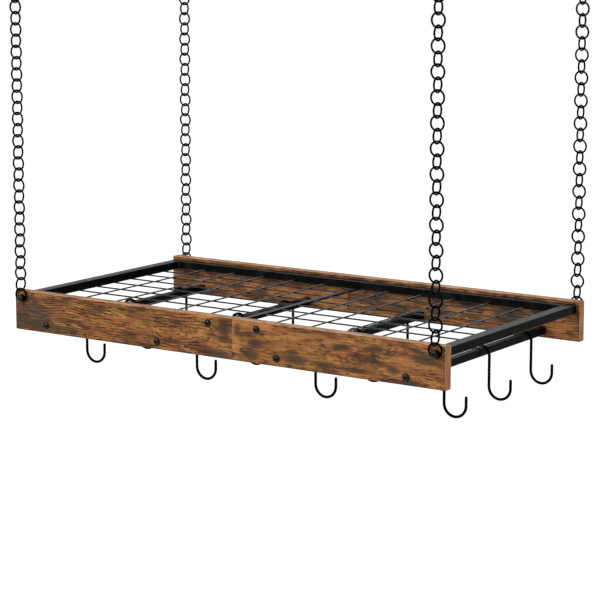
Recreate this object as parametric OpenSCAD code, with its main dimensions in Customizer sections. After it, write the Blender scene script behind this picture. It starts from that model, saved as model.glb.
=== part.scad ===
// Hanging pot rack: a wood-clad steel frame with a wire shelf and four hook bars,
// carried by four ring chains from screw hooks in the ceiling.
// Millimetres. The origin is the centre of the four ceiling screws, on the ceiling.
// X runs along the rack, -Y is its front, +Z is up, so the rack hangs below z = 0.

/* [Rack] */
// Length of the rack, over its boards
rack_l = 800; // [720:10:1000]
// Depth of the rack, over its boards
rack_w = 430; // [380:10:520]
// Height of the ceiling above the boards' top edges
hang_drop = 547.2; // [300:0.1:1200]

/* [Boards] */
// Height of a board
board_h = 64; // [60:1:80]
// Thickness of a board
board_t = 16; // [14:1:22]
// Radius of a board's long edges
board_r = 1.5; // [0.5:0.5:3]
// Distance of each pair's joint from the middle of the rack
joint_off = 31; // [20:1:60]
// Gap left in the joint between two boards
joint_gap = 0.4; // [0.2:0.1:1]
// Distance of a joint bolt from the joint
joint_bolt_off = 45; // [30:1:60]

/* [Frame] */
// Height of the frame's tubes
frame_h = 14; // [12:0.5:16]
// Width of an end tube
end_w = 18; // [14:0.5:22]
// Width of a long tube
long_w = 14; // [12:0.5:18]
// Wall of the tubes and hook bars
tube_wall = 1.2; // [1:0.1:1.6]
// Corner radius of the tubes and hook bars
tube_r = 1.2; // [0.6:0.1:1.6]
// Depth of the frame's top face below the boards' top edges
frame_drop = 5.25; // [4:0.25:10]
// Distance of an end tube from the ends of the boards
end_inset = 5.5; // [4:0.5:20]
// Width of the flat strip across the middle
strip_w = 10; // [8:1:16]
// Thickness of the flat strip
strip_t = 3; // [2:0.5:4]

/* [Wire shelf] */
// Height of the shelf's underside above the frame's underside
shelf_rise = 1.25; // [0:0.25:4]
// Diameter of a shelf wire
wire_d = 2.5; // [2:0.1:4]
// Spacing of the wires that run front to back
wire_gap_x = 62.7; // [50:0.1:80]
// Spacing of the wires that run lengthwise
wire_gap_y = 45.3; // [36:0.1:60]
// Depth by which crossing wires are welded into each other
weld = 0.3; // [0.2:0.05:0.5]

/* [Hook bars] */
// Width and height of a hook bar
bar_w = 12; // [10:0.5:14]
// Spacing of the four hook bars
bar_gap = 224; // [180:1:230]
// Height of a hook bar's underside above the boards' lower edges
bar_rise = 6; // [4:0.5:10]

/* [S-hooks] */
// Diameter of the hook wire
hook_d = 4.5; // [3:0.5:5]
// Mean radius of the curl that sits on the bar
curl_r = 15; // [14:0.5:18]
// How far the curl runs on past its half turn, in degrees
curl_more = 22; // [5:1:30]
// Mean radius of the open lower bend
bend_r = 18.3; // [12:0.1:24]
// Length of the straight shank
shank_l = 45.5; // [30:0.5:70]
// Length of the straight tip
tip_l = 14; // [6:0.5:24]
// Spacing of the hooks along a bar, at rest
hook_gap = 133; // [110:1:140]

/* [Chains] */
// Mean diameter of a chain ring
ring_md = 21; // [20:0.5:26]
// Diameter of the ring wire
ring_d = 3; // [2.5:0.1:3.4]

/* [Ceiling hooks] */
// Diameter of the ceiling hook wire
eye_d = 5; // [4:0.5:6]
// Mean radius of the ceiling hook
eye_r = 11; // [10:0.5:14]
// Least straight length between the ceiling and the ceiling hook's round
neck_min = 8; // [6:1:12]
// Length of the wood screw above the ceiling
screw_l = 38; // [30:1:60]

/* [Fasteners] */
// Diameter of a bolt
bolt_d = 6; // [5:0.5:6.5]
// Diameter of a bolt head
head_d = 12; // [10:0.5:13]
// Height of a bolt head
head_h = 3.5; // [2.5:0.5:5]
// Width of the hexagon socket across its flats
socket_af = 4; // [3:0.5:5]
// Depth of the hexagon socket
socket_depth = 2.2; // [1.5:0.1:2.4]
// Diameter of the washer behind a chain ring
washer_d = 13; // [11:0.5:14]
// Thickness of the washer behind a chain ring
washer_t = 1.6; // [1:0.1:2.5]
// Length of a threaded plug in a tube's end
plug_l = 14; // [10:1:20]
// Depth to which a bolt reaches into its plug
bolt_grip = 12; // [8:1:13]
// Thickness of a square nut in a long tube
nut_t = 5; // [4:0.5:6]

/* [Clearances] */
// Gap between pieces that move on each other
running = 0.3; // [0.2:0.05:0.5]
// Gap round a plug or a nut inside its tube
snug = 0.1; // [0.05:0.05:0.2]
// Radial gap of a bolt in its thread
thread_gap = 0.03; // [0.02:0.01:0.08]
// Radial gap of a bolt in a board
hole_gap = 0.3; // [0.2:0.1:0.6]

/* [Hidden] */
$fn = 48;

// Colours
BLACK = [0.06, 0.06, 0.065];
STEEL = [0.62, 0.63, 0.65];
WOOD = [0.50, 0.31, 0.16];

// How far a cutting shape runs past the face that it opens
past = 1;
// Sides of the hexagon socket
hexagon = 6;
// Degrees in a whole turn
turn = 360;

// Levels of the rack, from the boards' top edges down
board_top = -hang_drop;
board_low = board_top - board_h;
frame_low = board_top - frame_drop - frame_h;
shelf_low = frame_low + shelf_rise;
bar_z = board_low + bar_rise + bar_w / 2;

// The rack hangs from its chain bolts, which sit in the bottoms of the bolt rings
bolt_z = board_top - frame_drop - frame_h / 2;
bolt_ring_z = bolt_z + (ring_md - ring_d - bolt_d) / 2 - running;

// Whole pairs of rings make up the height, and the necks of the ceiling hooks take what is left
ring_pitch = ring_md - ring_d - running;
below_neck = 2 * eye_r - (eye_d + ring_d) / 2 - running + ring_md / 2;
chain_room = -bolt_ring_z - below_neck - neck_min;
ring_n = 2 * floor((chain_room / ring_pitch + 1) / 2);
neck_l = -bolt_ring_z - below_neck - (ring_n - 1) * ring_pitch;

// A chain's rings, counted from its bolt
on_bolt = 0;
upright = 1;
lower = 2;
top = ring_n - 1;

// Places across the rack
half_w = rack_w / 2;
inside_y = half_w - board_t;
inside_l = 2 * inside_y;
end_x = rack_l / 2 - end_inset - end_w / 2;
clear_x = end_x - end_w / 2;
long_y = inside_y - long_w / 2;
clear_y = inside_y - long_w;
bar_xs = [-1.5 * bar_gap, -0.5 * bar_gap, 0.5 * bar_gap, 1.5 * bar_gap];
hook_ys = [-hook_gap, 0, hook_gap];

// What the chain bolts carry, outwards from the board
ring_space = ring_d + 2 * running;
ring_y = half_w + washer_t + ring_space / 2;

// Counts of shelf wires on one side of the middle: none comes within half a gap of a tube
wires_x = floor(clear_x / wire_gap_x - 0.5);
wires_y = floor(clear_y / wire_gap_y - 0.5);
wire_z = shelf_low + wire_d / 2;

// The curl's centre is where its inside rests on the bar's rounded corners
corner_in = bar_w / 2 - tube_r;
curl_in = curl_r - hook_d / 2 - running - tube_r;
curl_z = bar_z + corner_in - sqrt(curl_in * curl_in - corner_in * corner_in);

// Rectangle with rounded corners, centred
module rounded(w, h, r) {
  square([w - 2 * r, h], center = true);
  square([w, h - 2 * r], center = true);
  for (x = [-1, 1], y = [-1, 1])
    translate([x * (w / 2 - r), y * (h / 2 - r)])
      circle(r);
}

// Inner width of a tube
function inner(w) = w - 2 * tube_wall;

// Tube of section w by h and length l along Z, from z = 0
module tube(w, h, l) {
  linear_extrude(l)
    difference() {
      rounded(w, h, tube_r);
      square([inner(w), inner(h)], center = true);
    }
}

// Tube of section w by h along Y between the front and back boards, at x and z
module cross_tube(w, h, x, z) {
  color(BLACK)
    translate([x, inside_y, z])
      rotate([90, 0, 0])
        tube(w, h, inside_l);
}

// Closed ring about the Y axis, centred
module ring() {
  rotate([90, 0, 0])
    rotate_extrude()
      translate([ring_md / 2, 0])
        circle(d = ring_d);
}

// Ring number i of a chain, from 0 on its bolt: the rings lie by turns along and across the rack
module chain_ring(i) {
  translate([0, 0, bolt_ring_z + i * ring_pitch])
    rotate([0, 0, i % 2 == 0 ? 0 : 90])
      ring();
}

// Rings first to last of the chain at sx, sy
module chain_rings(sx, sy, first, last) {
  color(BLACK)
    translate([sx * end_x, sy * ring_y, 0])
      for (i = [first : last])
        chain_ring(i);
}

// Rod of diameter d that bends by angle a on mean radius r in the XZ plane, from direction a0
module bend(r, d, a0, a) {
  rotate([90, 0, 0])
    rotate([0, 0, a0])
      rotate_extrude(angle = a)
        translate([r, 0])
          circle(d = d);
}

// Screw hook: wood screw above the ceiling, neck and open hook below it
module ceiling_hook(sx, sy) {
  plain_l = screw_l / 4;
  point_l = screw_l / 5;
  thread_pitch = 2.4;
  thread_h = 0.5;
  thread_n = floor((screw_l - plain_l - point_l) / thread_pitch);
  opening = 60;
  color(BLACK)
    translate([sx * end_x, sy * ring_y, 0]) {
      translate([0, 0, -neck_l])
        cylinder(d = eye_d, h = neck_l + screw_l - point_l);
      translate([0, 0, screw_l - point_l])
        cylinder(d1 = eye_d, d2 = eye_d / 5, h = point_l);
      for (i = [0 : thread_n - 1])
        translate([0, 0, plain_l + i * thread_pitch]) {
          cylinder(d1 = eye_d, d2 = eye_d + 2 * thread_h, h = thread_pitch / 3);
          translate([0, 0, thread_pitch / 3])
            cylinder(d1 = eye_d + 2 * thread_h, d2 = eye_d, h = thread_pitch / 3);
        }
      translate([0, 0, -neck_l - eye_r])
        bend(eye_r, eye_d, turn / 4, opening - turn);
    }
}

// Board from x0 to x1 on the side sy, with its long edges rounded and its bolt holes
module board(x0, x1, sy) {
  color(WOOD)
    difference() {
      translate([x0, sy * (half_w - board_t / 2), board_top - board_h / 2])
        rotate([90, 0, 90])
          linear_extrude(x1 - x0)
            rounded(board_t, board_h, board_r);
      for (p = bolt_places(sy))
        if (p[0] > x0 && p[0] < x1)
          translate([p[0], sy * (half_w + past), p[1]])
            rotate([sy * 90, 0, 0])
              cylinder(d = bolt_d + 2 * hole_gap, h = board_t + 2 * past);
    }
}

// The joint of each side's two boards: the back pair is the front pair turned round
function joint_x(sy) = -sy * joint_off;
function joint_bolt_xs(sy) = [joint_x(sy) - joint_bolt_off, joint_x(sy) + joint_bolt_off];

// Every bolt of one side, as x and z
function bolt_places(sy) = concat(
  [for (x = [-end_x, end_x]) [x, bolt_z]],
  [for (x = joint_bolt_xs(sy)) [x, bolt_z]],
  [for (x = bar_xs) [x, bar_z]]
);

// Button-head bolt along -Z from its head's seat at z = 0, with a shank of length l
module bolt(l) {
  rim_h = head_h / 4;
  dome_h = head_h - rim_h;
  dome_r = (head_d * head_d / 4 + dome_h * dome_h) / (2 * dome_h);
  color(BLACK) {
    translate([0, 0, -l])
      cylinder(d = bolt_d, h = l + rim_h);
    difference() {
      union() {
        cylinder(d = head_d, h = rim_h);
        intersection() {
          translate([0, 0, head_h - dome_r])
            sphere(dome_r);
          translate([0, 0, rim_h])
            cylinder(d = head_d, h = head_h);
        }
      }
      translate([0, 0, head_h - socket_depth])
        cylinder(d = socket_af / cos(turn / 2 / hexagon), h = head_h, $fn = hexagon);
    }
  }
}

// Places a bolt's seat at x, z, a distance out from the board face of the side sy
module on_board(x, z, sy, out) {
  translate([x, sy * (half_w + out), z])
    rotate([-sy * 90, 0, 0])
      children();
}

// Threaded block of length l along Y, centred, for the inside of a tube of section w by h
module threaded_block(w, h, l) {
  color(STEEL)
    rotate([90, 0, 0])
      difference() {
        cube([inner(w) - 2 * snug, inner(h) - 2 * snug, l], center = true);
        cylinder(d = bolt_d + 2 * thread_gap, h = l + 2 * past, center = true);
      }
}

// Plugs in both ends of a tube of section w by h along Y
module plugs(w, h, x, z) {
  for (sy = [-1, 1])
    translate([x, sy * (inside_y - plug_l / 2), z])
      threaded_block(w, h, plug_l);
}

// Long tube of the side sy, with holes for its two joint bolts in the wall against the board
module long_tube(sy) {
  color(BLACK)
    difference() {
      translate([-clear_x, sy * long_y, bolt_z])
        rotate([90, 0, 90])
          tube(long_w, frame_h, 2 * clear_x);
      for (x = joint_bolt_xs(sy))
        translate([x, sy * (inside_y + past), bolt_z])
          rotate([sy * 90, 0, 0])
            cylinder(d = bolt_d + 2 * hole_gap, h = tube_wall + 2 * past);
    }
}

// Wires of the half shelf on the side sx, welded to each other and ending on the tubes and the strip
module shelf_wires(sx) {
  wire_l = clear_x - strip_w / 2;
  color(BLACK) {
    for (k = [-wires_y : wires_y])
      translate([sx * (strip_w / 2 + wire_l / 2), k * wire_gap_y, wire_z])
        rotate([0, 90, 0])
          cylinder(d = wire_d, h = wire_l, center = true);
    for (k = [1 : wires_x])
      translate([sx * k * wire_gap_x, 0, wire_z + wire_d - weld])
        rotate([90, 0, 0])
          cylinder(d = wire_d, h = 2 * clear_y, center = true);
  }
}

// S-hook on bar number b at y: its curl sits on the bar, its shank and open bend hang on the right
module s_hook(b, y) {
  bend_z = curl_z - shank_l;
  color(BLACK)
    translate([bar_xs[b - 1], y, 0]) {
      translate([0, 0, curl_z])
        bend(curl_r, hook_d, 0, turn / 2 + curl_more);
      translate([curl_r, 0, bend_z])
        cylinder(d = hook_d, h = shank_l);
      translate([curl_r + bend_r, 0, bend_z])
        bend(bend_r, hook_d, turn / 2, turn / 2);
      translate([curl_r + 2 * bend_r, 0, bend_z])
        cylinder(d = hook_d, h = tip_l);
    }
}

module upright_rings() {
  for (sx = [-1, 1], sy = [-1, 1])
    chain_rings(sx, sy, upright, upright);
}

module bolt_rings() {
  for (sx = [-1, 1], sy = [-1, 1])
    chain_rings(sx, sy, on_bolt, on_bolt);
}

module ring_washers() {
  color(BLACK)
    for (sx = [-1, 1], sy = [-1, 1])
      on_board(sx * end_x, bolt_z, sy, 0)
        difference() {
          cylinder(d = washer_d, h = washer_t);
          translate([0, 0, -past])
            cylinder(d = bolt_d + 2 * hole_gap, h = washer_t + 2 * past);
        }
}

module chain_bolts() {
  seat = washer_t + ring_space;
  for (sx = [-1, 1], sy = [-1, 1])
    on_board(sx * end_x, bolt_z, sy, seat)
      bolt(seat + board_t + bolt_grip);
}

module joint_bolts() {
  nut_reach = tube_wall + nut_t + 2 * snug;
  for (sy = [-1, 1], x = joint_bolt_xs(sy))
    on_board(x, bolt_z, sy, 0)
      bolt(board_t + nut_reach);
}

module bar_bolts() {
  for (sy = [-1, 1], x = bar_xs)
    on_board(x, bar_z, sy, 0)
      bolt(board_t + bolt_grip);
}

module joint_nuts() {
  for (sy = [-1, 1], x = joint_bolt_xs(sy))
    translate([x, sy * (inside_y - tube_wall - snug - nut_t / 2), bolt_z])
      threaded_block(frame_h, frame_h, nut_t);
}

module end_tube_plugs() {
  for (sx = [-1, 1])
    plugs(end_w, frame_h, sx * end_x, bolt_z);
}

module bar_plugs() {
  for (x = bar_xs)
    plugs(bar_w, bar_w, x, bar_z);
}

module end_tube(sx) {
  cross_tube(end_w, frame_h, sx * end_x, bolt_z);
}

module hook_bar(b) {
  cross_tube(bar_w, bar_w, bar_xs[b - 1], bar_z);
}

module centre_strip() {
  color(BLACK)
    translate([-strip_w / 2, -clear_y, shelf_low])
      cube([strip_w, 2 * clear_y, strip_t]);
}

ceiling_hook(-1, -1);  // ceiling_hook_front_left
ceiling_hook(1, -1);  // ceiling_hook_front_right
ceiling_hook(-1, 1);  // ceiling_hook_back_left
ceiling_hook(1, 1);  // ceiling_hook_back_right
chain_rings(-1, -1, top, top);  // top_ring_front_left
chain_rings(1, -1, top, top);  // top_ring_front_right
chain_rings(-1, 1, top, top);  // top_ring_back_left
chain_rings(1, 1, top, top);  // top_ring_back_right
chain_rings(-1, -1, lower + 1, top - 1);  // chain_front_left
chain_rings(1, -1, lower + 1, top - 1);  // chain_front_right
chain_rings(-1, 1, lower + 1, top - 1);  // chain_back_left
chain_rings(1, 1, lower + 1, top - 1);  // chain_back_right
chain_rings(-1, -1, lower, lower);  // lower_ring_front_left
chain_rings(1, -1, lower, lower);  // lower_ring_front_right
chain_rings(-1, 1, lower, lower);  // lower_ring_back_left
chain_rings(1, 1, lower, lower);  // lower_ring_back_right
upright_rings();
bolt_rings();
ring_washers();
chain_bolts();
board(-rack_l / 2, joint_x(-1) - joint_gap / 2, -1);  // front_board_left
board(joint_x(-1) + joint_gap / 2, rack_l / 2, -1);  // front_board_right
board(-rack_l / 2, joint_x(1) - joint_gap / 2, 1);  // back_board_left
board(joint_x(1) + joint_gap / 2, rack_l / 2, 1);  // back_board_right
end_tube(-1);  // end_tube_left
end_tube(1);  // end_tube_right
long_tube(-1);  // long_tube_front
long_tube(1);  // long_tube_back
centre_strip();
shelf_wires(-1);  // shelf_wires_left
shelf_wires(1);  // shelf_wires_right
joint_bolts();
joint_nuts();
end_tube_plugs();
hook_bar(1);  // hook_bar_1
hook_bar(2);  // hook_bar_2
hook_bar(3);  // hook_bar_3
hook_bar(4);  // hook_bar_4
bar_plugs();
bar_bolts();
s_hook(1, hook_ys[0]);  // hook_1_front
s_hook(1, hook_ys[1]);  // hook_1_middle
s_hook(1, hook_ys[2]);  // hook_1_back
s_hook(2, hook_ys[0]);  // hook_2_front
s_hook(2, hook_ys[1]);  // hook_2_middle
s_hook(2, hook_ys[2]);  // hook_2_back
s_hook(3, hook_ys[0]);  // hook_3_front
s_hook(3, hook_ys[1]);  // hook_3_middle
s_hook(3, hook_ys[2]);  // hook_3_back
s_hook(4, hook_ys[0]);  // hook_4_front
s_hook(4, hook_ys[1]);  // hook_4_middle
s_hook(4, hook_ys[2]);  // hook_4_back
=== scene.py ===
"""Hanging pot rack: finishes, rounded S-hooks, welds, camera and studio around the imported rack."""

import math

import bpy
import numpy as np
from bpy.props import FloatProperty, FloatVectorProperty, PointerProperty
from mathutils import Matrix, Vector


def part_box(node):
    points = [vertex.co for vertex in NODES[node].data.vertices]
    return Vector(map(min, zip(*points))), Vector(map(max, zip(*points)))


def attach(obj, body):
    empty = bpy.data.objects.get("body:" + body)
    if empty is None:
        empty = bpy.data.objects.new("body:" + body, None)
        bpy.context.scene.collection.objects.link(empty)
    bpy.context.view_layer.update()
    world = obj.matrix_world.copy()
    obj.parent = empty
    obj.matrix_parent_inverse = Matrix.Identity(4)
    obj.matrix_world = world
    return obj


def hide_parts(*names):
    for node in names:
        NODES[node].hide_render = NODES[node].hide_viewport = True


bl_info = {
    "name": "Hanging Pot Rack",
    "version": (1, 0, 0),
    "blender": (4, 5, 0),
    "location": "View3D > Sidebar > Pot Rack",
    "description": "Dresses a chain-hung pot rack with boards, powder coat, rings, hooks and a pale studio",
    "category": "Add Mesh",
}

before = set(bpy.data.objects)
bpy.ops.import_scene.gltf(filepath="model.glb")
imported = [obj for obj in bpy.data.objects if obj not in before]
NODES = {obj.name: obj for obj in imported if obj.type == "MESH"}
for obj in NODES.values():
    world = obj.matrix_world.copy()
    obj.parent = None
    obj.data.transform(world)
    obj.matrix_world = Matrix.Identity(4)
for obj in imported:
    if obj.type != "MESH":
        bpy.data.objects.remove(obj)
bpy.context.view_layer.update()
MM = 0.001
TAU = 2 * math.pi
CORNERS = ("front_left", "front_right", "back_left", "back_right")
TUBES = ("end_tube_left", "end_tube_right", "long_tube_front", "long_tube_back", "centre_strip")
SHELVES = ("shelf_wires_left", "shelf_wires_right")
BARS = ("hook_bar_1", "hook_bar_2", "hook_bar_3", "hook_bar_4")
S_HOOKS = tuple(f"hook_{bar}_{place}" for bar in range(1, 5) for place in ("front", "middle", "back"))
CHAIN_PARTS = ("top_ring", "chain", "lower_ring", "ceiling_hook")
FASTENERS = ("chain_bolts", "joint_bolts", "bar_bolts", "ring_washers")
INNER_PARTS = ("joint_nuts", "end_tube_plugs", "bar_plugs")


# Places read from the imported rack


def node_box(name):
    """Lowest and highest corner of a CAD node, as arrays in metres."""
    low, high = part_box(name)
    return np.array(low), np.array(high)


RIGHT_LOW, RIGHT_HIGH = node_box("front_board_right")
JOINT = float(RIGHT_LOW[0])
HALF_LENGTH = float(RIGHT_HIGH[0])
HALF_WIDTH = float(-RIGHT_LOW[1])
BOARD_THICK = float(RIGHT_HIGH[1] - RIGHT_LOW[1])
BOARD_TOP = float(RIGHT_HIGH[2])
BOARD_LOW = float(RIGHT_LOW[2])

# Patches on the boards, in mm: place along the rack from its middle, or from the joint of the boards where
# the name says so, depth below the top edge, half length and half height
FRONT_LEFT_DARK = ((16, 20, 11, 16), (-310, 54, 40, 7), (-228, 14, 14, 6), (-372, 40, 54, 26), (0, 58, 30, 6))
FRONT_LEFT_KNOT = (-62 * MM, BOARD_TOP - 36 * MM, 110 * MM)  # x, z and reach
FRONT_RIGHT_DARK = (
    (41, 17, 7, 9), (77, 33, 14, 6), (66, 51, 12, 8), (140, 38, 12, 5), (144, 51, 26, 7), (194, 51, 24, 5),
    (225, 22, 18, 5), (282, 16, 15, 5), (250, 53, 30, 4), (364, 22, 24, 9), (315, 45, 12, 6),
    (351, 12, 10, 3),
)
FRONT_RIGHT_PALE_FROM_JOINT = ((5, 32, 9, 40), (40, 9, 34, 7), (150, 12, 30, 6), (300, 28, 40, 8))
BACK_LEFT_PALE = ((-340, 42, 26, 8), (-232, 34, 18, 6), (-152, 44, 36, 12), (-64, 42, 46, 18))
BACK_RIGHT_DARK = (
    (277, 34, 30, 15), (30, 30, 14, 8), (150, 44, 22, 7), (326, 24, 12, 6), (90, 54, 24, 5),
    (205, 26, 16, 5),
)
BACK_RIGHT_PALE = ((240, 36, 12, 12), (75, 32, 26, 6), (180, 36, 22, 7), (120, 26, 14, 5), (372, 44, 30, 12))

# The studio, in metres unless a line says otherwise
CAMERA_PLACE = (1.82606, -2.66691, 0.03973)
CAMERA_DOWN = math.radians(8.4388)  # angle below level
CAMERA_TURN = math.radians(34.2614)  # turn to the left of straight back
CAMERA_SHIFT = (-0.0014, -0.12)  # right and up, in picture widths
PICTURE_PIXELS = 600  # width of the photograph
FOCAL_PIXELS = 2067.34  # focal length in the photograph's pixels
SENSOR = 36  # width in mm
FAR_CLIP = 100
LAMP_TARGET = (0, 0, -0.55)  # near the middle of the shelf
FLOOR_HALF = 40.0


# Surfaces


def tube_grid(path, across, radii, sides):
    """Points of a round tube: each path point plus its radius times (cos v * normal + sin v * across),
    where across is square to the plane of the path and normal is across x tangent."""
    tangent = np.gradient(path, axis=0)
    tangent /= np.linalg.norm(tangent, axis=1, keepdims=True)
    normal = np.cross(across, tangent)
    v = np.linspace(0, TAU, sides, endpoint=False)
    circle = np.cos(v)[None, :, None] * normal[:, None] + np.sin(v)[None, :, None] * np.asarray(across, float)
    return path[:, None] + np.asarray(radii, float)[:, None, None] * circle


def closed_tube(grid):
    """Points and faces of a tube whose first and last rings are closed with a fan about their middle."""
    rings, sides = grid.shape[:2]
    i = np.arange((rings - 1) * sides).reshape(rings - 1, sides)
    right = np.roll(i, -1, axis=1)
    quads = np.stack([i, right, right + sides, i + sides], -1).reshape(-1, 4)
    points = np.concatenate([grid.reshape(-1, 3), grid[:1].mean(1), grid[-1:].mean(1)])
    first = np.arange(sides)
    start = np.stack([np.full(sides, rings * sides), np.roll(first, -1), first], -1)
    last = (rings - 1) * sides + first
    end = np.stack([np.full(sides, rings * sides + 1), last, np.roll(last, -1)], -1)
    return points, quads.tolist() + start.tolist() + end.tolist()


def rod(path, across, wire, sides=20, tip=0.6, steps=6):
    """A bent rod with rounded ends, inside its own length. Over the last tip * r of the rod, r being half the
    wire, the radius is r * (1 - tip + tip * sqrt(1 - t * t)), with t from 0 to 1 towards the end."""
    r = wire / 2
    t = np.sin(np.linspace(0, math.pi / 2, steps + 1))
    reach = r * tip
    ahead = (path[0] - path[1]) / np.linalg.norm(path[0] - path[1])
    behind = (path[-1] - path[-2]) / np.linalg.norm(path[-1] - path[-2])
    start = path[0] + ahead * reach * (t[::-1, None] - 1)
    end = path[-1] + behind * reach * (t[:, None] - 1)
    inner = path[1:-1]
    points = np.concatenate([start, inner, end])
    fall = r * (1 - tip + tip * np.sqrt(np.clip(1 - t * t, 0, 1)))
    radii = np.concatenate([fall[::-1], np.full(len(inner), r), fall])
    return closed_tube(tube_grid(points, across, radii, sides))


def bead(start, end, width, ripple=2.4 * MM, height=0.14, ripple_steps=6, more_steps=9, sides=10):
    """A weld bead from start to end, square to X. With s the way along it, its radius is
    width / 2 * (1 + height * sin(2 pi s / ripple)), and falls at both ends as sqrt(1 - (2 t - 1)^8), with t
    from 0 to 1."""
    start, end = np.asarray(start, float), np.asarray(end, float)
    length = float(np.linalg.norm(end - start))
    t = np.linspace(0, 1, int(length / ripple * ripple_steps) + more_steps)
    close = np.sqrt(np.clip(1 - (2 * t - 1) ** 8, 0.02, 1))
    radii = width / 2 * (1 + height * np.sin(TAU * t * length / ripple)) * close
    return closed_tube(tube_grid(start + t[:, None] * (end - start), (1, 0, 0), radii, sides))


def spot_weld(centre, along, half, radius, cut=0.2, rings=7, sides=8):
    """A drop about the axis along: its radius at centre - half * cos u is radius * sin u, with u from cut to
    pi - cut, so that both ends are small flat discs."""
    u = np.linspace(cut, math.pi - cut, rings)
    path = np.asarray(centre, float) - half * np.cos(u)[:, None] * np.asarray(along, float)
    return closed_tube(tube_grid(path, (0, 0, 1), radius * np.sin(u), sides))


def piece(name, surfaces, material, body, replaced=()):
    """Joins surfaces into one smooth mesh object at the origin, which rides on a body of the rack."""
    points, faces, start = [], [], 0
    for some_points, some_faces in surfaces:
        points.append(some_points)
        faces += [[k + start for k in face] for face in some_faces]
        start += len(some_points)
    mesh = bpy.data.meshes.new(name)
    mesh.from_pydata(np.concatenate(points).tolist(), [], faces)
    mesh.polygons.foreach_set("use_smooth", np.ones(len(mesh.polygons), bool))
    mesh.update()
    mesh.materials.append(material)
    made = bpy.data.objects.new(name, mesh)
    bpy.context.scene.collection.objects.link(made)
    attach(made, body)
    if replaced:
        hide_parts(*replaced)
    return made


def paint(names, material):
    """Gives the CAD nodes a material."""
    for name in names:
        for each in NODES[name].material_slots:
            each.material = material


# Materials


class Recipe:
    """One node material, written as a chain of small steps, most of which give the socket of their result."""

    def __init__(self, name, roughness, specular=0.5):
        self.material = bpy.data.materials.new(name)
        self.material.use_nodes = True
        self.tree = self.material.node_tree
        self.shader = self.tree.nodes["Principled BSDF"]
        self.shader.inputs["Roughness"].default_value = roughness
        self.shader.inputs["Specular IOR Level"].default_value = specular
        coordinates = self.tree.nodes.new("ShaderNodeTexCoord")
        self.place = coordinates.outputs["Object"]
        self.facing = coordinates.outputs["Normal"]

    def put(self, socket, value):
        """Links a socket to another step, or sets its number or colour."""
        if isinstance(value, bpy.types.NodeSocket):
            self.tree.links.new(value, socket)
        elif hasattr(value, "__len__") and len(value) == 3 and len(getattr(socket, "default_value", ())) == 4:
            socket.default_value = (*value, 1)
        else:
            socket.default_value = value

    def math(self, operation, *values):
        """One Math node."""
        node = self.tree.nodes.new("ShaderNodeMath")
        node.operation = operation
        for socket, value in zip(node.inputs, values):
            self.put(socket, value)
        return node.outputs[0]

    def add(self, first, second):
        """The sum of two values."""
        return self.math("ADD", first, second)

    def less(self, value, taken):
        """A value with another taken from it."""
        return self.math("SUBTRACT", value, taken)

    def times(self, first, second):
        """The product of two values."""
        return self.math("MULTIPLY", first, second)

    def larger(self, first, second):
        """The larger of two values."""
        return self.math("MAXIMUM", first, second)

    def size(self, value):
        """A value without its sign."""
        return self.math("ABSOLUTE", value)

    def square(self, value):
        """A value times itself."""
        return self.math("POWER", value, 2.0)

    def split(self, vector):
        """The x, y and z of a vector."""
        node = self.tree.nodes.new("ShaderNodeSeparateXYZ")
        self.put(node.inputs[0], vector)
        return node.outputs

    def moved(self, vector, scale, offset=(0, 0, 0)):
        """A vector scaled and moved."""
        node = self.tree.nodes.new("ShaderNodeMapping")
        self.put(node.inputs["Vector"], vector)
        node.inputs["Scale"].default_value = scale
        node.inputs["Location"].default_value = offset
        return node.outputs[0]

    def noise(self, cells, offset=(0, 0, 0), detail=4.0, rough=0.6, distortion=0.0):
        """Noise from 0 to 1, with so many cells per metre along x, y and z, or one number for all three."""
        node = self.tree.nodes.new("ShaderNodeTexNoise")
        self.put(node.inputs["Vector"], self.moved(self.place, np.broadcast_to(cells, 3).tolist(), offset))
        node.inputs["Scale"].default_value = 1.0
        node.inputs["Detail"].default_value = detail
        node.inputs["Roughness"].default_value = rough
        node.inputs["Distortion"].default_value = distortion
        return node.outputs["Fac"]

    def span(self, value, low, high, to_low=0.0, to_high=1.0):
        """value taken smoothly from low..high to to_low..to_high, held at the ends."""
        node = self.tree.nodes.new("ShaderNodeMapRange")
        node.interpolation_type = "SMOOTHSTEP"
        sockets = ("Value", "From Min", "From Max", "To Min", "To Max")
        for socket, number in zip(sockets, (value, low, high, to_low, to_high)):
            self.put(node.inputs[socket], number)
        return node.outputs[0]

    def mix(self, amount, first, second, kind="MIX"):
        """Two colours mixed."""
        node = self.tree.nodes.new("ShaderNodeMix")
        node.data_type = "RGBA"
        node.blend_type = kind
        self.put(node.inputs[0], amount)
        self.put(node.inputs[6], first)
        self.put(node.inputs[7], second)
        return node.outputs[2]

    def bump(self, height, distance, strength):
        """A raised pattern, its depth in metres."""
        node = self.tree.nodes.new("ShaderNodeBump")
        node.inputs["Strength"].default_value = strength
        node.inputs["Distance"].default_value = distance
        self.put(node.inputs["Height"], height)
        self.put(self.shader.inputs["Normal"], node.outputs[0])

    def roughness(self, value):
        """A roughness that varies."""
        self.put(self.shader.inputs["Roughness"], value)

    def colour(self, value):
        """The finished colour, which completes the material."""
        self.put(self.shader.inputs["Base Color"], value)
        return self.material


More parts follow.
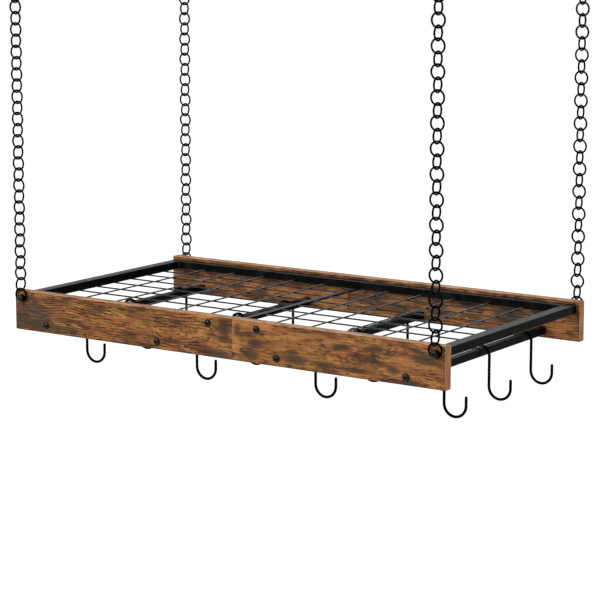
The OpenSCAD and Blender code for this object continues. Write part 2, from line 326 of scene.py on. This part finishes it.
def coated_steel(name, colour, dust, roughness, specular, grit, peel=1.1 * MM, corner_sheen=None):
    """Black coat: its colour drifts slowly towards a dustier one, its roughness wanders with it, and an
    orange-peel bump of depth grit has grains about peel across. On square tube the rounded corners, whose
    normals lie along no axis, get a paler colour as a painted highlight, less in some places than in others."""
    recipe = Recipe(name, roughness, specular)
    drift = recipe.noise(38, detail=3.0)
    grain = recipe.noise(1 / peel, detail=2.0, rough=0.55)
    recipe.roughness(recipe.span(drift, 0.3, 0.7, roughness - 0.07, roughness + 0.07))
    recipe.bump(grain, grit, strength=0.6)
    speck = recipe.times(recipe.span(grain, 0.62, 0.78), 0.5)
    tone = recipe.mix(recipe.larger(speck, recipe.span(drift, 0.48, 0.72)), colour, dust)
    # painted highlight: the rounded corners are coloured paler, for the light they catch
    if corner_sheen:
        x, y, z = (recipe.size(part) for part in recipe.split(recipe.facing))
        along = recipe.larger(x, recipe.larger(y, z))
        corner = recipe.times(recipe.span(along, 0.99, 0.90), recipe.span(drift, 0.30, 0.65, 0.5, 1.0))
        tone = recipe.mix(corner, tone, corner_sheen)
    return recipe.colour(tone)


def zinc_plate(plain):
    """Plated steel, whose colour and roughness vary in cloudy patches, with a fine grain in its bump."""
    recipe = Recipe("zinc plate", roughness=0.35)
    recipe.shader.inputs["Metallic"].default_value = 1.0
    cloud = recipe.noise(220, detail=3.0)
    recipe.roughness(recipe.span(cloud, 0.3, 0.7, 0.28, 0.46))
    recipe.bump(recipe.noise(1800, detail=2.0, rough=0.55), 0.01 * MM, strength=0.6)
    dull = tuple(0.8 * part for part in plain)
    return recipe.colour(recipe.mix(recipe.span(cloud, 0.35, 0.65), plain, dull))


class BoardRecipe(Recipe):
    """A rustic brown board, whose tones are laid over each other from broad to fine. All its patterns are
    moved by offset, so that no two boards are alike."""

    # Depths under a face of the board at which each edge mark starts and is full: the sawn end, the pale
    # rims, which are partly wear and partly painted highlight, and the lines of painted shade
    SAWN = (0.5 * MM, 0.1 * MM)
    TOP_RIM = (1.2 * MM, 0.5 * MM)
    SIDE_RIM = (2.4 * MM, 1.2 * MM)
    END_SHADE = (2.4 * MM, 1.0 * MM)
    LOWER_SHADE = (2.0 * MM, 0.6 * MM)

    def __init__(self, name, wood, offset):
        super().__init__(name, wood.roughness, specular=0.06)
        self.wood = wood
        self.x, self.y, self.z = self.split(self.place)
        self.place = self.moved(self.place, (1, 1, 1), offset)
        self.wobble = self.noise((40, 150, 150), detail=3.0)
        self.streak = self.noise((34, 480, 480), detail=6.0, rough=0.70)
        self.lines = None
        self.tone = None

    def lay(self, amount, tone):
        """Covers the colour so far with another tone, as far as amount says."""
        self.tone = self.mix(amount, self.tone, tone)

    def browns(self):
        """Dark, middle and light brown that change slowly along the grain, with an olive or a red cast."""
        broad = self.noise((12, 36, 36), detail=8.0, rough=0.66)
        self.tone = self.mix(self.span(broad, 0.38, 0.54), self.wood.dark_tone, self.wood.mid_tone)
        glow = self.noise((20, 80, 80), (3, 1, 7), detail=6.0, rough=0.62)
        self.lay(self.span(glow, 0.48, 0.62, 0, 0.75), self.wood.light_tone)
        cast = self.span(self.noise((26, 60, 60), (6, 3, 3)), 0.40, 0.60)
        tint = self.mix(cast, self.wood.olive_cast, self.wood.red_cast)
        self.tone = self.mix(1.0, self.tone, tint, "MULTIPLY")

    def growth_lines(self, strength, knot, lean=0.6, wave_depth=30 * MM, squash=0.3, shake=4.5):
        """Dark lines, a pitch apart in height plus lean times the thickness plus a slow wave. Within reach of
        a knot (x, z, reach) they follow the stretched distance sqrt((squash dx)^2 + dz^2) from it instead.
        Here and there they fade out."""
        wave = self.times(self.noise((9, 14, 14), (1, 5, 2), detail=2.0, rough=0.5), wave_depth)
        level = self.add(self.add(self.z, self.times(self.y, lean)), wave)
        if knot:
            knot_x, knot_z, reach = knot
            dx = self.less(self.x, knot_x)
            dz = self.less(self.z, knot_z)
            far = self.math("SQRT", self.add(self.square(self.times(dx, squash)), self.square(dz)))
            near = self.span(self.size(dx), reach * 0.5, reach, 1.0, 0.0)
            level = self.add(self.times(level, self.less(1.0, near)), self.times(self.add(far, wave), near))
        phase = self.add(self.times(level, TAU / self.wood.pitch), self.times(self.wobble, shake))
        self.lines = self.span(self.math("SINE", phase), 0.50, 0.90)
        fade = self.span(self.noise((18, 90, 90), (9, 2, 4), detail=3.0), 0.38, 0.50)
        self.lay(self.times(self.times(self.lines, fade), strength), self.wood.line_and_shade_tone)

    def streaks(self, strength):
        """Thin dark and light streaks, and short cracks."""
        self.lay(self.span(self.streak, 0.50, 0.62, 0, strength), self.wood.line_and_shade_tone)
        self.lay(self.span(self.streak, 0.44, 0.34, 0, 0.3), self.wood.light_tone)
        crack = self.noise((60, 420, 420), (4, 4, 9), rough=0.65, distortion=0.8)
        self.lay(self.span(crack, 0.575, 0.615, 0, 0.95), self.wood.line_and_shade_tone)

    def patch(self, patch_x, patch_z, half_length, half_height):
        """0.8 at the middle of an ellipse and 0 beyond it, with an edge that is frayed along the grain."""
        along = self.square(self.math("DIVIDE", self.less(self.x, patch_x), half_length))
        up = self.square(self.math("DIVIDE", self.less(self.z, patch_z), half_height))
        loose = self.times(self.less(self.wobble, 0.5), 2.6)
        fray = self.add(loose, self.times(self.less(self.streak, 0.5), 3.0))
        return self.span(self.add(self.add(along, up), fray), 1.7, 0.0, 0, 0.8)

    def blotches(self, strength, dark, pale):
        """Dark blotches all over, and patches of dark stain and of light brown at given places."""
        cloud = self.noise((34, 84, 84), (5, 8, 1), detail=8.0, rough=0.74)
        stain = self.span(cloud, 0.535, 0.63, 0, strength)
        for ellipse in dark:
            stain = self.larger(stain, self.patch(*ellipse))
        for ellipse in pale:
            self.lay(self.times(self.patch(*ellipse), 0.6), self.wood.light_tone)
        self.lay(stain, self.wood.stain_tone)

    def edge_wear_and_painted_light(self):
        """Sawn ends; pale rims round them and along the top, partly worn edges and partly painted highlight,
        with the whole top a little pale as painted light from above; a painted shade line before each end;
        and a darker lower rim as painted shade."""
        wood = self.wood
        under_end = self.less(HALF_LENGTH, self.size(self.x))
        from_middle = self.size(self.less(self.size(self.y), HALF_WIDTH - BOARD_THICK / 2))
        under_side = self.less(BOARD_THICK / 2, from_middle)
        end_face = self.span(under_end, *self.SAWN)
        top_face = self.span(self.less(BOARD_TOP, self.z), *self.TOP_RIM)
        sawn = self.span(self.noise((90, 480, 24), (2, 6, 3)), 0.42, 0.56)
        self.lay(end_face, self.mix(sawn, wood.end_tone, wood.mid_tone))
        # painted highlight: the pale tone covers the whole top a quarter as painted light from above, and
        # fully along the rounded rims, which are partly lighter worn edges
        rim = self.larger(self.span(under_side, *self.SIDE_RIM), 0.25)
        pale = self.mix(self.span(self.streak, 0.40, 0.60), wood.edge_wear_and_highlight_tone, wood.mid_tone)
        self.lay(self.times(self.larger(end_face, top_face), rim), pale)
        # painted shade: a dark line on the faces just before each end, where the corner turns away from the
        # light
        end_shade = self.times(self.span(under_end, *self.END_SHADE, 0, 0.6), self.less(1.0, end_face))
        self.lay(end_shade, wood.line_and_shade_tone)
        # painted shade: the lower rim darkened as if in shadow
        self.lay(self.span(self.less(self.z, BOARD_LOW), *self.LOWER_SHADE, 0, 0.7), wood.line_and_shade_tone)

    def finished(self):
        """The material, with lines and streaks sunk into its surface, and duller where a streak is dark."""
        rough = self.wood.roughness
        self.roughness(self.span(self.streak, 0.35, 0.65, rough - 0.08, rough + 0.12))
        sunk = self.add(self.times(self.lines, 0.4), self.streak)
        self.bump(self.less(1.0, sunk), 0.25 * MM, strength=0.5)
        return self.colour(self.tone)


def board_wood(name, wood, offset, blotch, line, grain, knot=None, dark=(), pale=()):
    """The material of one board, with the strengths of its blotches, growth lines and streaks, its knot and
    its dark and pale patches."""
    board = BoardRecipe(name, wood, offset)
    board.browns()
    board.growth_lines(line, knot)
    board.streaks(grain)
    board.blotches(blotch, dark, pale)
    board.edge_wear_and_painted_light()
    return board.finished()


def placed(patches, start=0.0):
    """Patches in metres, as (x, z, half length, half height), from those in mm, whose places are from
    start."""
    return [(start + along * MM, BOARD_TOP - depth * MM, length * MM, height * MM)
            for along, depth, length, height in patches]


# Settings


class PotRackWood(bpy.types.PropertyGroup):
    """Colours, growth lines and roughness of the boards."""

    mid_tone: FloatVectorProperty(
        name="Brown", description="Main brown of the boards", default=(0.212, 0.086, 0.027), subtype="COLOR")
    dark_tone: FloatVectorProperty(
        name="Dark brown", description="Darker stretches", default=(0.078, 0.032, 0.014), subtype="COLOR")
    light_tone: FloatVectorProperty(
        name="Light brown", description="Light streaks", default=(0.340, 0.150, 0.048), subtype="COLOR")
    # this tone also colours the painted shade lines before the ends and along the lower rim
    line_and_shade_tone: FloatVectorProperty(
        name="Line", description="Growth lines, cracks and painted shade lines", default=(0.018, 0.009, 0.006), subtype="COLOR")
    stain_tone: FloatVectorProperty(
        name="Blotch", description="Dark grey-brown blotches", default=(0.026, 0.020, 0.016), subtype="COLOR")
    olive_cast: FloatVectorProperty(
        name="Olive cast", description="Tint of the greener stretches", default=(0.95, 1.04, 0.90),
        subtype="COLOR")
    red_cast: FloatVectorProperty(
        name="Red cast", description="Tint of the redder stretches", default=(1.06, 0.95, 1.04),
        subtype="COLOR")
    # pale tone of the rims and the top, partly wear and partly painted highlight
    edge_wear_and_highlight_tone: FloatVectorProperty(
        name="Edge", description="Pale edges, partly worn and partly painted highlight", default=(0.470, 0.275, 0.155), subtype="COLOR")
    end_tone: FloatVectorProperty(
        name="End", description="Sawn ends", default=(0.440, 0.205, 0.088), subtype="COLOR")
    pitch: FloatProperty(
        name="Line pitch", description="Distance between growth lines", default=4.2 * MM, unit="LENGTH")
    roughness: FloatProperty(
        name="Roughness", description="Roughness of the lacquer", default=0.5, min=0, max=1, subtype="FACTOR")


class PotRackSteel(bpy.types.PropertyGroup):
    """Finish and sizes of the steel pieces."""

    black: FloatVectorProperty(
        name="Black", description="Powder coat", default=(0.0026, 0.0026, 0.0028), subtype="COLOR")
    # the dusty black is also the painted highlight colour on the corners of the hook bars
    dust: FloatVectorProperty(
        name="Dusty black", description="Duller patches of the coat", default=(0.0075, 0.0073, 0.0074),
        subtype="COLOR")
    # painted highlight colour for the rounded corners of the tubes
    corner_sheen: FloatVectorProperty(
        name="Corner sheen", description="Painted highlight on the corners of the tubes",
        default=(0.055, 0.054, 0.054), subtype="COLOR")
    jet: FloatVectorProperty(
        name="Jet black", description="Rings and hooks", default=(0.0010, 0.0010, 0.0010), subtype="COLOR")
    plain: FloatVectorProperty(
        name="Plain steel", description="Nuts and plugs", default=(0.55, 0.56, 0.58), subtype="COLOR")
    curl: FloatProperty(
        name="Curl radius", description="Mean radius of a hook's curl", default=15 * MM, unit="LENGTH")
    curl_more: FloatProperty(
        name="Curl past half", description="How far a curl runs past half a turn", default=math.radians(22),
        subtype="ANGLE")
    tip: FloatProperty(
        name="Tip length", description="Straight end of a hook", default=14 * MM, unit="LENGTH")
    weld: FloatProperty(
        name="Weld width", description="Width of a weld bead", default=2.2 * MM, unit="LENGTH")
    shelf_wire: FloatProperty(
        name="Shelf wire", description="Diameter of the shelf wires", default=2.5 * MM, unit="LENGTH")
    gap_x: FloatProperty(
        name="Wire gap, lengthwise", description="Distance between the wires that run front to back",
        default=62.7 * MM, unit="LENGTH")
    gap_y: FloatProperty(
        name="Wire gap, front to back", description="Distance between the lengthwise wires",
        default=45.3 * MM, unit="LENGTH")


class PotRackStage(bpy.types.PropertyGroup):
    """Studio round the rack."""

    drop: FloatProperty(
        name="Floor", description="Depth of the floor below the ceiling", default=2.6, unit="LENGTH")
    key: FloatProperty(
        name="Key light", description="Power of the large lamp in front", default=135.0, min=0)
    side: FloatProperty(
        name="Side light", description="Power of the lamp at the right", default=14.0, min=0)
    back: FloatProperty(
        name="Back light", description="Power of the lamp behind, which draws the edges of the steel",
        default=55.0, min=0)
    world: FloatProperty(
        name="Fill light", description="Strength of the white surroundings", default=0.62, min=0)


# Boards


class POTRACK_OT_boards(bpy.types.Operator):
    """Finish the four wooden boards"""

    bl_idname = "potrack.boards"
    bl_label = "Boards"

    def execute(self, context):
        wood = context.scene.potrack_wood
        paint(["front_board_left"], board_wood(
            "wood front left", wood, offset=(0.0, 0.0, 0.0), blotch=0.55, line=1.0, grain=0.8,
            knot=FRONT_LEFT_KNOT, dark=placed(FRONT_LEFT_DARK)))
        paint(["front_board_right"], board_wood(
            "wood front right", wood, offset=(2.3, 0.4, 0.7), blotch=0.9, line=0.4, grain=0.5,
            dark=placed(FRONT_RIGHT_DARK), pale=placed(FRONT_RIGHT_PALE_FROM_JOINT, JOINT)))
        paint(["back_board_left"], board_wood(
            "wood back left", wood, offset=(5.1, 0.9, 1.9), blotch=0.7, line=0.6, grain=0.6,
            pale=placed(BACK_LEFT_PALE)))
        paint(["back_board_right"], board_wood(
            "wood back right", wood, offset=(7.7, 1.3, 2.9), blotch=0.9, line=0.8, grain=0.7,
            dark=placed(BACK_RIGHT_DARK), pale=placed(BACK_RIGHT_PALE)))
        return {"FINISHED"}


# Frame, shelf and hook bars


class POTRACK_OT_frame(bpy.types.Operator):
    """Finish the tubes, the strip, the wire shelf and the hook bars, and lay the welds"""

    bl_idname = "potrack.frame"
    bl_label = "Frame and shelf"

    def execute(self, context):
        steel = context.scene.potrack_steel
        tube_coat = coated_steel(
            "black powder coat", steel.black, steel.dust, roughness=0.26, specular=0.012, grit=0.006 * MM,
            corner_sheen=steel.corner_sheen)
        # painted highlight: the rounded corners of the bars take the dusty black
        bar_coat = coated_steel(
            "black bar coat", steel.black, steel.dust, roughness=0.30, specular=0.014, grit=0.006 * MM,
            corner_sheen=steel.dust)
        wire_coat = coated_steel(
            "black shelf coat", steel.black, steel.dust, roughness=0.30, specular=0.10, grit=0.01 * MM,
            peel=0.7 * MM)
        paint(TUBES, tube_coat)
        paint(BARS, bar_coat)
        paint(SHELVES, wire_coat)
        piece("frame_welds", frame_welds(steel.weld), tube_coat, "rack")
        piece("shelf_welds", shelf_welds(steel), wire_coat, "rack")
        return {"FINISHED"}


def frame_welds(width):
    """Beads where the long tubes meet the end tubes, up the inside corners and along the lower and upper
    seams, and at the ends of the centre strip."""
    low, high = node_box("long_tube_front")
    strip_low, strip_high = node_box("centre_strip")
    upper_seam = high[2] - width / 4
    thin = width * 0.7
    made = []
    for sx in (-1, 1):
        x = sx * high[0]
        strip_x = sx * strip_high[0]
        for sy in (-1, 1):
            inner, outer = sy * abs(high[1]), sy * abs(low[1])
            made.append(bead((x, inner, low[2] + width), (x, inner, high[2] - width), width))
            made.append(bead((x, inner, low[2]), (x, outer, low[2]), width))
            made.append(bead((strip_x, inner, strip_low[2]), (strip_x, inner, strip_high[2]), width))
            made.append(bead((x, inner, upper_seam), (x, outer, upper_seam), thin))
    return made


def shelf_welds(steel):
    """Spot welds at both ends of every shelf wire, whose lines lie whole gaps from the middle of the rack."""
    wire = steel.shelf_wire
    half, radius = wire * 0.9, wire * 0.62
    made = []
    for name in SHELVES:
        low, high = node_box(name)
        reach = max(abs(low[0]), abs(high[0]))
        rows = int(high[1] / steel.gap_y)
        for k in range(-rows, rows + 1):
            y = k * steel.gap_y
            if abs(y) < high[1] - steel.gap_y / 2:
                ends = [(x, y, low[2] + wire / 2) for x in (low[0], high[0])]
                made += [spot_weld(end, (1, 0, 0), half, radius) for end in ends]
        for k in range(1, int(reach / steel.gap_x) + 1):
            x = math.copysign(k * steel.gap_x, low[0] + high[0])
            if abs(x) < reach - steel.gap_x / 2:
                ends = [(x, y, high[2] - wire / 2) for y in (low[1], high[1])]
                made += [spot_weld(end, (0, 1, 0), half, radius) for end in ends]
    return made


# Bolts, chains and hooks


class POTRACK_OT_fasteners(bpy.types.Operator):
    """Finish the bolts, washers, nuts and plugs"""

    bl_idname = "potrack.fasteners"
    bl_label = "Fasteners"

    def execute(self, context):
        steel = context.scene.potrack_steel
        paint(FASTENERS, coated_steel(
            "black oxide", steel.jet, steel.dust, roughness=0.30, specular=0.13, grit=0.01 * MM,
            peel=0.5 * MM))
        paint(INNER_PARTS, zinc_plate(steel.plain))
        return {"FINISHED"}


class POTRACK_OT_chains(bpy.types.Operator):
    """Finish the ring chains and the ceiling hooks"""

    bl_idname = "potrack.chains"
    bl_label = "Chains"

    def execute(self, context):
        steel = context.scene.potrack_steel
        chain_coat = coated_steel(
            "black chain", steel.jet, steel.black, roughness=0.40, specular=0.008, grit=0.01 * MM,
            peel=0.6 * MM)
        paint([f"{part}_{corner}" for part in CHAIN_PARTS for corner in CORNERS], chain_coat)
        paint(("upright_rings", "bolt_rings"), chain_coat)
        return {"FINISHED"}


class POTRACK_OT_hooks(bpy.types.Operator):
    """Build the twelve S-hooks with rounded ends"""

    bl_idname = "potrack.hooks"
    bl_label = "S-hooks"

    def execute(self, context):
        steel = context.scene.potrack_steel
        hook_coat = coated_steel(
            "black hook", steel.jet, steel.black, roughness=0.38, specular=0.008, grit=0.01 * MM,
            peel=0.6 * MM)
        for name in S_HOOKS:
            piece(f"{name}_rod", [s_hook(node_box(name), steel)], hook_coat, name, (name,))
        return {"FINISHED"}


def s_hook(box, steel, curl_steps=40, shank_steps=4, bend_steps=36):
    """An S-hook's rod in its CAD box: the curl turns from its open end over the top, the shank drops,
    the lower bend turns half round, and the tip rises; each arc is centre + R * (cos a, sin a) in X and Z."""
    low, high = box
    wire = float(high[1] - low[1])
    r = wire / 2
    curl = steel.curl
    bend = (float(high[0] - low[0]) - wire) / 2 - curl
    y = float(low[1] + high[1]) / 2
    curl_x, curl_z = low[0] + r + curl, high[2] - r - curl
    bend_x, bend_z = high[0] - r - bend, low[2] + r + bend

    def arc(centre_x, centre_z, radius, start, stop, steps):
        a = np.linspace(start, stop, steps)
        across, up = radius * np.cos(a), radius * np.sin(a)
        return np.stack([centre_x + across, np.full(steps, y), centre_z + up], -1)

    heights = np.linspace(curl_z, bend_z, shank_steps + 2)[1:-1]
    shank = np.stack([np.full(shank_steps, curl_x + curl), np.full(shank_steps, y), heights], -1)
    tip_x = bend_x + bend
    tip = np.array([[tip_x, y, bend_z + steel.tip / 2], [tip_x, y, bend_z + steel.tip]])
    path = np.concatenate([
        arc(curl_x, curl_z, curl, math.pi + steel.curl_more, 0, curl_steps), shank,
        arc(bend_x, bend_z, bend, math.pi, TAU, bend_steps), tip,
    ])
    return rod(path, (0, 1, 0), wire)


# Studio


class POTRACK_OT_stage(bpy.types.Operator):
    """Set the camera, the lamps, the white surroundings and the pale floor"""

    bl_idname = "potrack.stage"
    bl_label = "Studio"

    def execute(self, context):
        scene = context.scene
        stage = scene.potrack_stage
        scene.view_settings.view_transform = "Standard"
        scene.camera = camera(scene)
        area_lamp(scene, "key lamp", place=(-1.3, -2.8, 0.9), size=2.4, power=stage.key)
        area_lamp(scene, "side lamp", place=(2.6, -0.6, 0.6), size=1.6, power=stage.side)
        area_lamp(scene, "back lamp", place=(-1.0, 2.4, 1.5), size=2.2, power=stage.back)
        scene.world = surroundings(stage.world)
        pale_floor(scene, -stage.drop)
        return {"FINISHED"}


def camera(scene):
    """The camera at the photograph's viewing angle."""
    data = bpy.data.cameras.new("camera")
    data.sensor_width = SENSOR
    data.lens = SENSOR * FOCAL_PIXELS / PICTURE_PIXELS
    data.shift_x, data.shift_y = CAMERA_SHIFT
    data.clip_end = FAR_CLIP
    made = bpy.data.objects.new("camera", data)
    scene.collection.objects.link(made)
    made.location = CAMERA_PLACE
    made.rotation_euler = (math.pi / 2 - CAMERA_DOWN, 0, CAMERA_TURN)
    return made


def area_lamp(scene, name, place, size, power):
    """A square lamp at place, turned to the rack."""
    data = bpy.data.lights.new(name, "AREA")
    data.energy = power
    data.size = size
    lamp = bpy.data.objects.new(name, data)
    scene.collection.objects.link(lamp)
    lamp.location = place
    away = np.array(place) - np.array(LAMP_TARGET)
    tilt = math.atan2(math.hypot(away[0], away[1]), away[2])
    lamp.rotation_euler = (tilt, 0, math.atan2(away[1], away[0]) + math.pi / 2)


def seen_rays(tree):
    """1 for the rays of the camera, of gloss and of glass, which see the studio white, and 0 for the rest."""
    path = tree.nodes.new("ShaderNodeLightPath")
    seen = path.outputs["Is Camera Ray"]
    for ray in ("Is Glossy Ray", "Is Transmission Ray"):
        either = tree.nodes.new("ShaderNodeMath")
        either.operation = "MAXIMUM"
        tree.links.new(seen, either.inputs[0])
        tree.links.new(path.outputs[ray], either.inputs[1])
        seen = either.outputs[0]
    return seen


def surroundings(strength):
    """White surroundings, plain white to the eye, which light the rack with a strength of their own."""
    world = bpy.data.worlds.new("surroundings")
    world.use_nodes = True
    tree = world.node_tree
    back = tree.nodes["Background"]
    back.inputs["Color"].default_value = (1, 1, 1, 1)
    level = tree.nodes.new("ShaderNodeMapRange")
    level.inputs["To Min"].default_value = strength
    level.inputs["To Max"].default_value = 1.0
    tree.links.new(seen_rays(tree), level.inputs["Value"])
    tree.links.new(level.outputs[0], back.inputs["Strength"])
    return world


def pale_floor(scene, height):
    """A wide pale floor whose own colour and a little glow for the camera come to white in the light."""
    recipe = Recipe("pale floor", roughness=0.9, specular=0.1)
    recipe.colour((0.8, 0.8, 0.8))
    recipe.put(recipe.shader.inputs["Emission Color"], (1, 1, 1))
    recipe.put(recipe.shader.inputs["Emission Strength"], recipe.times(seen_rays(recipe.tree), 0.6))
    corners = [(sx * FLOOR_HALF, sy * FLOOR_HALF, height) for sx, sy in ((-1, -1), (1, -1), (1, 1), (-1, 1))]
    mesh = bpy.data.meshes.new("floor")
    mesh.from_pydata(corners, [], [(0, 1, 2, 3)])
    mesh.materials.append(recipe.material)
    floor = bpy.data.objects.new("floor", mesh)
    scene.collection.objects.link(floor)


# Panel and registration


class POTRACK_PT_panel(bpy.types.Panel):
    """Lists the pieces of the pot rack"""

    bl_idname = "POTRACK_PT_panel"
    bl_label = "Pot Rack"
    bl_space_type = "VIEW_3D"
    bl_region_type = "UI"
    bl_category = "Pot Rack"

    def draw(self, context):
        for operator in OPERATORS:
            self.layout.operator(operator.bl_idname)
        for group in (context.scene.potrack_wood, context.scene.potrack_steel, context.scene.potrack_stage):
            for name in group.__annotations__:
                self.layout.prop(group, name)


OPERATORS = (
    POTRACK_OT_stage, POTRACK_OT_boards, POTRACK_OT_frame, POTRACK_OT_fasteners, POTRACK_OT_chains,
    POTRACK_OT_hooks,
)
CLASSES = (PotRackWood, PotRackSteel, PotRackStage, *OPERATORS, POTRACK_PT_panel)


def register():
    """Registers the classes and hangs the settings on the scene."""
    for cls in CLASSES:
        bpy.utils.register_class(cls)
    bpy.types.Scene.potrack_wood = PointerProperty(type=PotRackWood)
    bpy.types.Scene.potrack_steel = PointerProperty(type=PotRackSteel)
    bpy.types.Scene.potrack_stage = PointerProperty(type=PotRackStage)


def unregister():
    """Takes the settings and the classes away again."""
    del bpy.types.Scene.potrack_wood, bpy.types.Scene.potrack_steel, bpy.types.Scene.potrack_stage
    for cls in reversed(CLASSES):
        bpy.utils.unregister_class(cls)


def main():
    """Dresses the whole rack."""
    register()
    bpy.ops.potrack.stage()
    bpy.ops.potrack.boards()
    bpy.ops.potrack.frame()
    bpy.ops.potrack.fasteners()
    bpy.ops.potrack.chains()
    bpy.ops.potrack.hooks()


if __name__ == "__main__":
    main()
